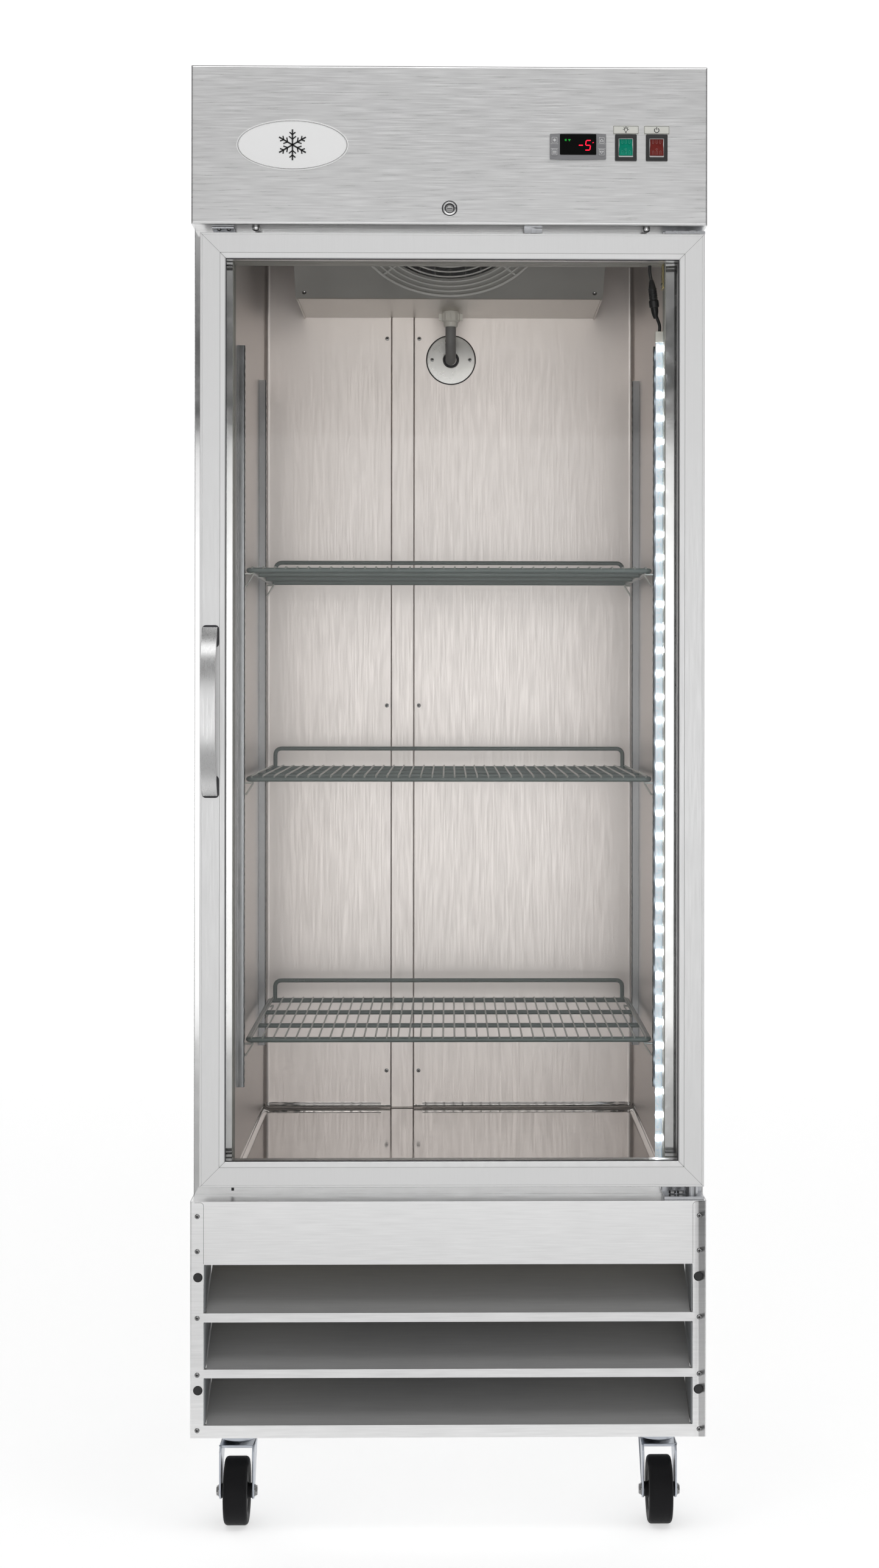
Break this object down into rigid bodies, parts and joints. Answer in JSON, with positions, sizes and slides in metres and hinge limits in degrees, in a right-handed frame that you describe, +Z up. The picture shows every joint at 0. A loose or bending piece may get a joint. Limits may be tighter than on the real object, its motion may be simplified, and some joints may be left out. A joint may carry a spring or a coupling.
{
  "type": "reach in refrigerator",
  "caption": "Upright reach-in cabinet with a framed glass door, wire shelves, header controls and lock, louvred base and swivel casters.",
  "frame": {"origin": "on the floor under the middle of the whole object's box", "axes": "+X to the cabinet's right as seen from the front, +Y from the door to the back, +Z up"},
  "size_m": [0.737, 0.822, 2.103],
  "materials": {
    "outer_steel": "satin, fine horizontal grain",
    "header_steel": "satin, fine horizontal grain",
    "grille_steel": "satin, fine horizontal grain",
    "liner_steel": "bright finish that mirrors the shelves",
    "foam": null,
    "compressor_paint": "black enamel",
    "condenser_metal": "bare finned metal",
    "fan_plastic": "moulded black",
    "black_plastic": "fine moulded texture",
    "key_plastic": "soft touch keys",
    "green_lens": "clear green lens over a lamp",
    "red_lens": "clear dark red lens over a lamp",
    "lock_chrome": "polished",
    "door_aluminium": "satin anodised extrusion",
    "clear_glass": "clear",
    "gasket_rubber": "soft moulded seal",
    "hinge_zinc": "zinc plated",
    "pilaster_chrome": "bright plated",
    "shelf_epoxy": "grey-green epoxy coat",
    "coil_paint": "grey powder coat",
    "guard_wire": "coated wire",
    "coil_aluminium": "bare fins",
    "white_plastic": "moulded white",
    "grey_hose": "soft extruded hose",
    "light_diffuser": "clear cover over white lamps",
    "cable_black": "black sheath",
    "caster_zinc": "bright zinc plate with a blue tint",
    "caster_rubber": "solid black tread"
  },
  "bodies": {
    "cabinet": {"side_panel_left": "outer_steel", "side_panel_right": "outer_steel", "back_panel": "outer_steel", "top_panel": "outer_steel", "insulation": "foam", "inner_liner": "liner_steel", "base_deck": "outer_steel", "louvre_grille": "grille_steel", "compressor": "compressor_paint", "condenser": "condenser_metal", "header_panel": "header_steel", "controller": "black_plastic", "light_switch_housing": "black_plastic", "power_switch_housing": "black_plastic", "lock_barrel": "lock_chrome", "hinge_top": "hinge_zinc", "hinge_bottom": "hinge_zinc", "pilaster_front_left": "pilaster_chrome", "pilaster_front_right": "pilaster_chrome", "pilaster_rear_left": "pilaster_chrome", "pilaster_rear_right": "pilaster_chrome", "shelf_lower": "shelf_epoxy", "shelf_middle": "shelf_epoxy", "shelf_upper": "shelf_epoxy", "evaporator_cover": "coil_paint", "fan_guard": "guard_wire", "evaporator_coil": "coil_aluminium", "drain_fitting": "white_plastic", "drain_hose": "grey_hose", "led_bar": "light_diffuser", "led_lead": "cable_black", "caster_plate_front_left": "caster_zinc", "caster_plate_front_right": "caster_zinc", "caster_plate_rear_left": "caster_zinc", "caster_plate_rear_right": "caster_zinc"},
    "door": {"door_stile_left": "door_aluminium", "door_stile_right": "door_aluminium", "door_rail_bottom": "door_aluminium", "door_rail_top": "door_aluminium", "glass_outer": "clear_glass", "glass_inner": "clear_glass", "door_gasket": "gasket_rubber", "door_handle": "door_aluminium"},
    "light_switch_rocker": {"light_switch_rocker": "green_lens"},
    "power_switch_rocker": {"power_switch_rocker": "red_lens"},
    "key_set": {"key_set": "key_plastic"},
    "key_defrost": {"key_defrost": "key_plastic"},
    "key_up": {"key_up": "key_plastic"},
    "key_down": {"key_down": "key_plastic"},
    "lock_plug": {"lock_plug": "lock_chrome"},
    "evaporator_fan": {"evaporator_fan": "fan_plastic"},
    "condenser_fan": {"condenser_fan": "fan_plastic"},
    "caster_fork_front_left": {"caster_fork_front_left": "caster_zinc"},
    "caster_wheel_front_left": {"caster_wheel_front_left": "caster_rubber"},
    "caster_fork_front_right": {"caster_fork_front_right": "caster_zinc"},
    "caster_wheel_front_right": {"caster_wheel_front_right": "caster_rubber"},
    "caster_fork_rear_left": {"caster_fork_rear_left": "caster_zinc"},
    "caster_wheel_rear_left": {"caster_wheel_rear_left": "caster_rubber"},
    "caster_fork_rear_right": {"caster_fork_rear_right": "caster_zinc"},
    "caster_wheel_rear_right": {"caster_wheel_rear_right": "caster_rubber"}
  },
  "joints": [
    {"name": "door_hinge", "type": "hinge", "parent": "cabinet", "child": "door", "pos_m": [0.35, -0.344, 0.503], "axis": [0, 0, 1], "range_deg": [0, 120]},
    {"name": "light_switch_rock", "type": "hinge", "parent": "cabinet", "child": "light_switch_rocker", "pos_m": [0.2515, -0.364, 1.987], "axis": [1, 0, 0], "range_deg": [0, 15]},
    {"name": "power_switch_rock", "type": "hinge", "parent": "cabinet", "child": "power_switch_rocker", "pos_m": [0.2956, -0.364, 1.987], "axis": [1, 0, 0], "range_deg": [0, 15]},
    {"name": "key_set_press", "type": "slide", "parent": "cabinet", "child": "key_set", "axis": [0, 1, 0], "range_m": [0, 0.0005], "stiffness_N_per_m": 1500},
    {"name": "key_defrost_press", "type": "slide", "parent": "cabinet", "child": "key_defrost", "axis": [0, 1, 0], "range_m": [0, 0.0005], "stiffness_N_per_m": 1500},
    {"name": "key_up_press", "type": "slide", "parent": "cabinet", "child": "key_up", "axis": [0, 1, 0], "range_m": [0, 0.0005], "stiffness_N_per_m": 1500},
    {"name": "key_down_press", "type": "slide", "parent": "cabinet", "child": "key_down", "axis": [0, 1, 0], "range_m": [0, 0.0005], "stiffness_N_per_m": 1500},
    {"name": "lock_turn", "type": "hinge", "parent": "cabinet", "child": "lock_plug", "pos_m": [0, -0.369, 1.8995], "axis": [0, -1, 0], "range_deg": [0, 90]},
    {"name": "evaporator_fan_spin", "type": "hinge", "parent": "cabinet", "child": "evaporator_fan", "pos_m": [0, 0.00192, 1.94351], "axis": [0, -0.6157, -0.788], "continuous": true},
    {"name": "condenser_fan_spin", "type": "hinge", "parent": "cabinet", "child": "condenser_fan", "pos_m": [0, -0.196, 0.29], "axis": [0, 1, 0], "continuous": true},
    {"name": "caster_swivel_front_left", "type": "hinge", "parent": "cabinet", "child": "caster_fork_front_left", "pos_m": [-0.307, -0.264, 0.12], "axis": [0, 0, 1], "continuous": true},
    {"name": "caster_roll_front_left", "type": "hinge", "parent": "caster_fork_front_left", "child": "caster_wheel_front_left", "pos_m": [-0.307, -0.294, 0.0485], "axis": [1, 0, 0], "continuous": true},
    {"name": "caster_swivel_front_right", "type": "hinge", "parent": "cabinet", "child": "caster_fork_front_right", "pos_m": [0.307, -0.264, 0.12], "axis": [0, 0, 1], "continuous": true},
    {"name": "caster_roll_front_right", "type": "hinge", "parent": "caster_fork_front_right", "child": "caster_wheel_front_right", "pos_m": [0.307, -0.294, 0.0485], "axis": [1, 0, 0], "continuous": true},
    {"name": "caster_swivel_rear_left", "type": "hinge", "parent": "cabinet", "child": "caster_fork_rear_left", "pos_m": [-0.307, 0.306, 0.12], "axis": [0, 0, 1], "continuous": true},
    {"name": "caster_roll_rear_left", "type": "hinge", "parent": "caster_fork_rear_left", "child": "caster_wheel_rear_left", "pos_m": [-0.307, 0.276, 0.0485], "axis": [1, 0, 0], "continuous": true},
    {"name": "caster_swivel_rear_right", "type": "hinge", "parent": "cabinet", "child": "caster_fork_rear_right", "pos_m": [0.307, 0.306, 0.12], "axis": [0, 0, 1], "continuous": true},
    {"name": "caster_roll_rear_right", "type": "hinge", "parent": "caster_fork_rear_right", "child": "caster_wheel_rear_right", "pos_m": [0.307, 0.276, 0.0485], "axis": [1, 0, 0], "continuous": true}
  ]
}
